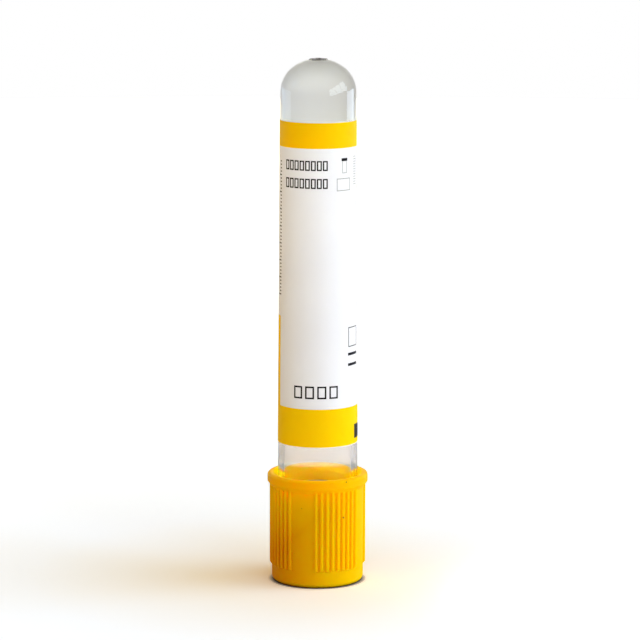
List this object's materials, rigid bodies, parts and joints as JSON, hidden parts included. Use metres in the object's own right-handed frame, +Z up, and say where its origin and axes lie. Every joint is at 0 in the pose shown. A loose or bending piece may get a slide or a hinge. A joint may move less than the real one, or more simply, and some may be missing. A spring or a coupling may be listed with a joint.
{
  "type": "blood collection tube",
  "caption": "Clear round-ended sample tube with a paper label and separator gel, closed by a rubber stopper in a ribbed yellow safety cap.",
  "frame": {"origin": "middle of the cap's flat end, which stands on the surface", "axes": "+Z up along the tube, from the cap to the closed round end; -Y towards the label's front"},
  "size_m": [0.0164, 0.0162, 0.085],
  "materials": {
    "yellow_plastic": "semi-gloss moulded polyethylene",
    "stopper_rubber": "matt moulded butyl rubber",
    "clear_plastic": "clear, glossy moulded PET",
    "label_paper": "coated label paper, printed in yellow and black",
    "separator_gel": "hazy, translucent gel"
  },
  "bodies": {
    "closure": {"cap": "yellow_plastic", "stopper": "stopper_rubber"},
    "sample_tube": {"tube": "clear_plastic", "label": "label_paper", "gel": "separator_gel"}
  },
  "joints": [
    {"name": "tube_pull", "type": "slide", "parent": "closure", "child": "sample_tube", "axis": [0, 0, 1], "range_m": [0, 0.03]}
  ]
}
